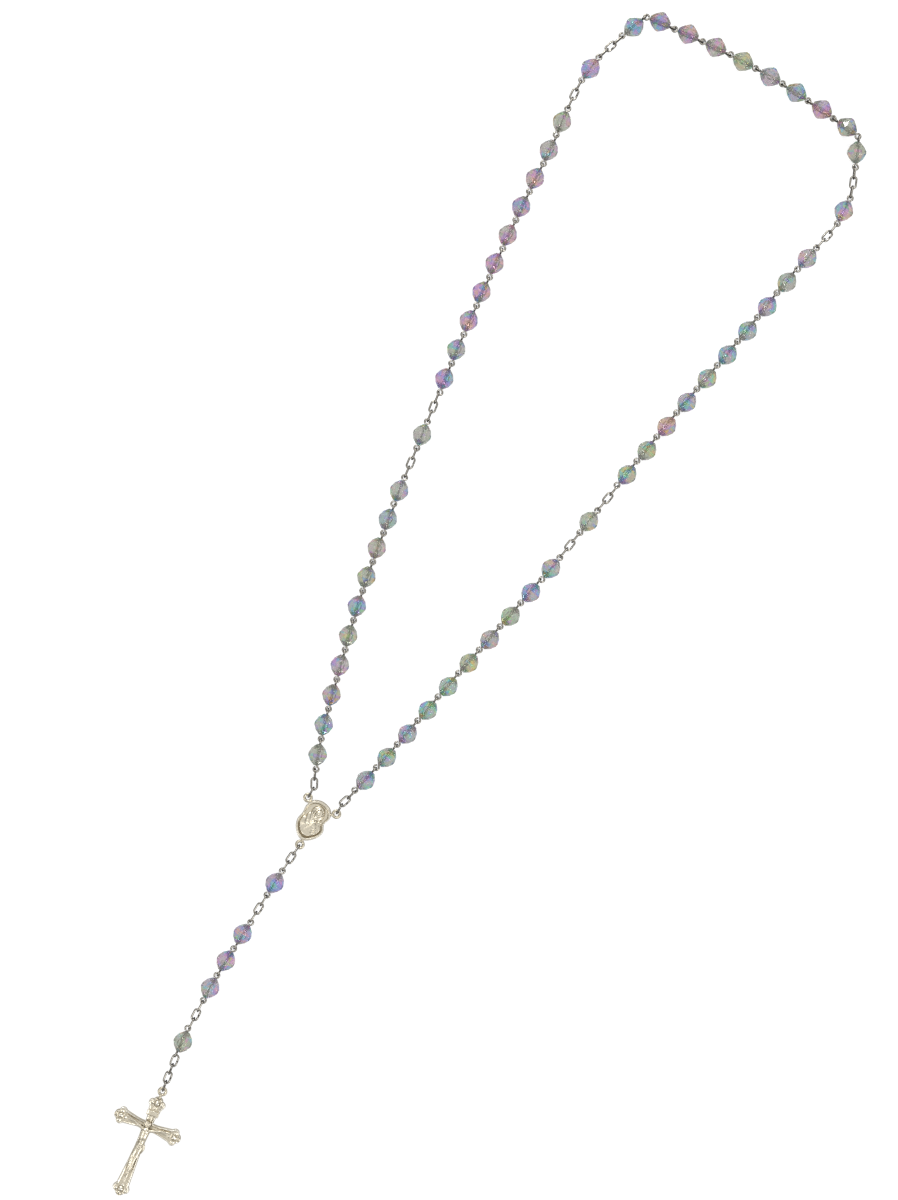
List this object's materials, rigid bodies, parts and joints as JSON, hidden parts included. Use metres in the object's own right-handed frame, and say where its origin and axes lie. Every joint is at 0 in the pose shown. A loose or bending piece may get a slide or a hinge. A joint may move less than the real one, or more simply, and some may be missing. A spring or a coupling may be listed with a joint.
{
  "type": "rosary",
  "caption": "Rosary of faceted crystal beads on wire eye pins and oval links, with a cast centrepiece medal and a crucifix, laid out flat with its loop open.",
  "frame": {"origin": "middle of the centrepiece's flat back", "axes": "+Y from the crucifix to the top of the loop, +X to the right seen from the front, +Z out of the front"},
  "size_m": [0.1161, 0.4904, 0.0069],
  "materials": {
    "crystal_beads": "clear faceted crystal with an iridescent coating",
    "silver_wire": "bright silver-tone wire",
    "cast_metal": "pale champagne silver casting, darker in its recesses"
  },
  "bodies": {
    "centerpiece": {"centerpiece": "cast_metal"},
    "left_ear_link": {"link_left_ear": "silver_wire"},
    "left_lower_strand": {"links_left_ear": "silver_wire", "beads_decade_1": "crystal_beads", "pins_decade_1": "silver_wire", "links_decade_1_top": "silver_wire", "pin_our_father_1": "silver_wire"},
    "left_upper_strand": {"links_decade_2_start": "silver_wire", "beads_decade_2": "crystal_beads", "pins_decade_2": "silver_wire", "links_decade_2_top": "silver_wire", "pin_our_father_2": "silver_wire", "links_decade_3_left_start": "silver_wire", "pin_corner_left": "silver_wire"},
    "left_top_row": {"beads_decade_3_left": "crystal_beads", "pins_decade_3_left": "silver_wire"},
    "bead_our_father_1": {"bead_our_father_1": "crystal_beads"},
    "bead_our_father_2": {"bead_our_father_2": "crystal_beads"},
    "bead_corner_left": {"bead_corner_left": "crystal_beads"},
    "right_ear_link": {"link_right_ear": "silver_wire"},
    "right_lower_strand": {"links_right_ear": "silver_wire", "beads_decade_5": "crystal_beads", "pins_decade_5": "silver_wire", "links_decade_5_top": "silver_wire", "pin_our_father_4": "silver_wire"},
    "right_upper_strand": {"links_decade_4_start": "silver_wire", "beads_decade_4": "crystal_beads", "pins_decade_4": "silver_wire", "links_decade_4_top": "silver_wire", "pin_our_father_3": "silver_wire", "links_decade_3_right_start": "silver_wire", "pin_corner_right": "silver_wire"},
    "right_top_row": {"beads_decade_3_right": "crystal_beads", "pins_decade_3_right": "silver_wire"},
    "bead_our_father_4": {"bead_our_father_4": "crystal_beads"},
    "bead_our_father_3": {"bead_our_father_3": "crystal_beads"},
    "bead_corner_right": {"bead_corner_right": "crystal_beads"},
    "pendant_ear_link": {"link_pendant_ear": "silver_wire"},
    "pendant_upper_links": {"links_pendant_upper": "silver_wire"},
    "pendant_father_1": {"pin_pendant_father_1": "silver_wire"},
    "bead_pendant_father_1": {"bead_pendant_father_1": "crystal_beads"},
    "pendant_middle_link": {"link_pendant_middle": "silver_wire"},
    "pendant_middle_links": {"links_pendant_middle": "silver_wire"},
    "hail_mary_1": {"pin_hail_mary_1": "silver_wire"},
    "bead_hail_mary_1": {"bead_hail_mary_1": "crystal_beads"},
    "hail_mary_2": {"pin_hail_mary_2": "silver_wire"},
    "bead_hail_mary_2": {"bead_hail_mary_2": "crystal_beads"},
    "hail_mary_3": {"pin_hail_mary_3": "silver_wire"},
    "bead_hail_mary_3": {"bead_hail_mary_3": "crystal_beads"},
    "pendant_lower_link": {"link_pendant_lower": "silver_wire"},
    "pendant_lower_links": {"links_pendant_lower": "silver_wire"},
    "pendant_father_2": {"pin_pendant_father_2": "silver_wire"},
    "bead_pendant_father_2": {"bead_pendant_father_2": "crystal_beads"},
    "crucifix_links": {"links_crucifix": "silver_wire"},
    "crucifix_ring_link": {"link_crucifix_ring": "silver_wire"},
    "crucifix": {"cross": "cast_metal", "corpus": "cast_metal", "title_scroll": "cast_metal"}
  },
  "joints": [
    {"name": "loop_lift", "type": "hinge", "parent": "centerpiece", "child": "left_ear_link", "pos_m": [0, 0.0078, 0.0015], "axis": [1, 0, 0], "range_deg": [-80, 80]},
    {"name": "loop_spread", "type": "hinge", "parent": "left_ear_link", "child": "left_lower_strand", "pos_m": [-0.0062, 0.0112, 0.00248], "axis": [0, 0, 1], "range_deg": [-8, 14]},
    {"name": "knee_left", "type": "hinge", "parent": "left_lower_strand", "child": "left_upper_strand", "pos_m": [-0.03794, 0.15138, 0.00346], "axis": [0, 0, 1], "range_deg": [-24.74, 14.27]},
    {"name": "top_left", "type": "hinge", "parent": "left_upper_strand", "child": "left_top_row", "pos_m": [-0.0426, 0.32453, 0.00346], "axis": [0, 0, 1], "range_deg": [-0.44, 0.55]},
    {"name": "spin_our_father_1", "type": "hinge", "parent": "left_lower_strand", "child": "bead_our_father_1", "pos_m": [-0.03719, 0.14608, 0.00346], "axis": [-0.1408, 0.99, 0], "continuous": true},
    {"name": "spin_our_father_2", "type": "hinge", "parent": "left_upper_strand", "child": "bead_our_father_2", "pos_m": [-0.05122, 0.29681, 0.00346], "axis": [0.1255, 0.9921, 0], "continuous": true},
    {"name": "spin_corner_left", "type": "hinge", "parent": "left_upper_strand", "child": "bead_corner_left", "pos_m": [-0.04487, 0.3185, 0.00346], "axis": [0.3526, 0.9358, 0], "continuous": true},
    {"name": "loop_lift_right", "type": "hinge", "parent": "centerpiece", "child": "right_ear_link", "pos_m": [0, 0.0078, 0.0015], "axis": [1, 0, 0], "range_deg": [-80, 80]},
    {"name": "loop_spread_right", "type": "hinge", "parent": "right_ear_link", "child": "right_lower_strand", "pos_m": [0.0062, 0.0112, 0.00248], "axis": [0, 0, 1], "range_deg": [-13.34, 7.75]},
    {"name": "knee_right", "type": "hinge", "parent": "right_lower_strand", "child": "right_upper_strand", "pos_m": [0.03414, 0.15446, 0.00346], "axis": [0, 0, 1], "range_deg": [-14.26, 24.73]},
    {"name": "top_right", "type": "hinge", "parent": "right_upper_strand", "child": "right_top_row", "pos_m": [0.0486, 0.32546, 0.00346], "axis": [0, 0, 1], "range_deg": [-1.93, 3.16]},
    {"name": "spin_our_father_4", "type": "hinge", "parent": "right_lower_strand", "child": "bead_our_father_4", "pos_m": [0.03333, 0.14918, 0.00346], "axis": [0.1531, 0.9882, 0], "continuous": true},
    {"name": "spin_our_father_3", "type": "hinge", "parent": "right_upper_strand", "child": "bead_our_father_3", "pos_m": [0.05793, 0.29814, 0.00346], "axis": [-0.0525, 0.9986, 0], "continuous": true},
    {"name": "spin_corner_right", "type": "hinge", "parent": "right_upper_strand", "child": "bead_corner_right", "pos_m": [0.05115, 0.31954, 0.00346], "axis": [-0.3958, 0.9183, 0], "continuous": true},
    {"name": "pendant_swing_1", "type": "hinge", "parent": "centerpiece", "child": "pendant_ear_link", "pos_m": [0, -0.0104, 0.0015], "axis": [0, 0, 1], "range_deg": [-55, 55]},
    {"name": "pendant_lift_1", "type": "hinge", "parent": "pendant_ear_link", "child": "pendant_upper_links", "pos_m": [-0.00024, -0.01379, 0.00248], "axis": [0.9975, -0.0702, 0], "range_deg": [-55, 55]},
    {"name": "pendant_swing_2", "type": "hinge", "parent": "pendant_upper_links", "child": "pendant_father_1", "pos_m": [-0.00074, -0.02206, 0.00346], "axis": [0, 0, -1], "range_deg": [-55, 55]},
    {"name": "spin_pendant_father_1", "type": "hinge", "parent": "pendant_father_1", "child": "bead_pendant_father_1", "pos_m": [-0.00097, -0.02741, 0.00346], "axis": [-0.0426, -0.9991, 0], "continuous": true},
    {"name": "pendant_swing_3", "type": "hinge", "parent": "pendant_father_1", "child": "pendant_middle_link", "pos_m": [-0.0012, -0.03275, 0.00346], "axis": [0, 0, 1], "range_deg": [-55, 55]},
    {"name": "pendant_lift_2", "type": "hinge", "parent": "pendant_middle_link", "child": "pendant_middle_links", "pos_m": [-0.00131, -0.03623, 0.00346], "axis": [-0.9994, 0.0332, 0], "range_deg": [-55, 55]},
    {"name": "pendant_swing_4", "type": "hinge", "parent": "pendant_middle_links", "child": "hail_mary_1", "pos_m": [-0.00159, -0.04473, 0.00346], "axis": [0, 0, -1], "range_deg": [-55, 55]},
    {"name": "spin_hail_mary_1", "type": "hinge", "parent": "hail_mary_1", "child": "bead_hail_mary_1", "pos_m": [-0.00182, -0.05008, 0.00346], "axis": [-0.0429, -0.9991, 0], "continuous": true},
    {"name": "pendant_lift_3", "type": "hinge", "parent": "hail_mary_1", "child": "hail_mary_2", "pos_m": [-0.00205, -0.05542, 0.00346], "axis": [0.9991, -0.0429, 0], "range_deg": [-55, 55]},
    {"name": "spin_hail_mary_2", "type": "hinge", "parent": "hail_mary_2", "child": "bead_hail_mary_2", "pos_m": [-0.00224, -0.06187, 0.00346], "axis": [-0.026, -0.9997, 0], "continuous": true},
    {"name": "pendant_swing_5", "type": "hinge", "parent": "hail_mary_2", "child": "hail_mary_3", "pos_m": [-0.00241, -0.06832, 0.00346], "axis": [0, 0, 1], "range_deg": [-55, 55]},
    {"name": "spin_hail_mary_3", "type": "hinge", "parent": "hail_mary_3", "child": "bead_hail_mary_3", "pos_m": [-0.00227, -0.07367, 0.00346], "axis": [0.0256, -0.9997, 0], "continuous": true},
    {"name": "pendant_swing_6", "type": "hinge", "parent": "hail_mary_3", "child": "pendant_lower_link", "pos_m": [-0.00213, -0.07902, 0.00346], "axis": [0, 0, -1], "range_deg": [-55, 55]},
    {"name": "pendant_lift_4", "type": "hinge", "parent": "pendant_lower_link", "child": "pendant_lower_links", "pos_m": [-0.00197, -0.08249, 0.00346], "axis": [-0.9989, -0.0465, 0], "range_deg": [-55, 55]},
    {"name": "pendant_swing_7", "type": "hinge", "parent": "pendant_lower_links", "child": "pendant_father_2", "pos_m": [-0.00149, -0.09099, 0.00346], "axis": [0, 0, 1], "range_deg": [-55, 55]},
    {"name": "spin_pendant_father_2", "type": "hinge", "parent": "pendant_father_2", "child": "bead_pendant_father_2", "pos_m": [-0.00099, -0.09631, 0.00346], "axis": [0.094, -0.9956, 0], "continuous": true},
    {"name": "pendant_lift_5", "type": "hinge", "parent": "pendant_father_2", "child": "crucifix_links", "pos_m": [-0.00049, -0.10164, 0.00346], "axis": [0.9956, 0.094, 0], "range_deg": [-55, 55]},
    {"name": "crucifix_swing", "type": "hinge", "parent": "crucifix_links", "child": "crucifix_ring_link", "pos_m": [0.0009, -0.11206, 0.00248], "axis": [0, 0, -1], "range_deg": [-55, 55]},
    {"name": "crucifix_lift", "type": "hinge", "parent": "crucifix_ring_link", "child": "crucifix", "pos_m": [0.00146, -0.11542, 0.0015], "axis": [-0.9866, -0.1632, 0], "range_deg": [-55, 55]}
  ],
  "couplings": [
    {"joint": "knee_left", "follows": "loop_spread", "ratio": -1.746},
    {"joint": "top_left", "follows": "loop_spread", "ratio": 0.018001},
    {"joint": "loop_spread_right", "follows": "loop_spread", "ratio": -0.93123},
    {"joint": "knee_right", "follows": "loop_spread", "ratio": 1.7452},
    {"joint": "top_right", "follows": "loop_spread", "ratio": 0.20393},
    {"joint": "loop_lift_right", "follows": "loop_lift", "ratio": 1}
  ]
}
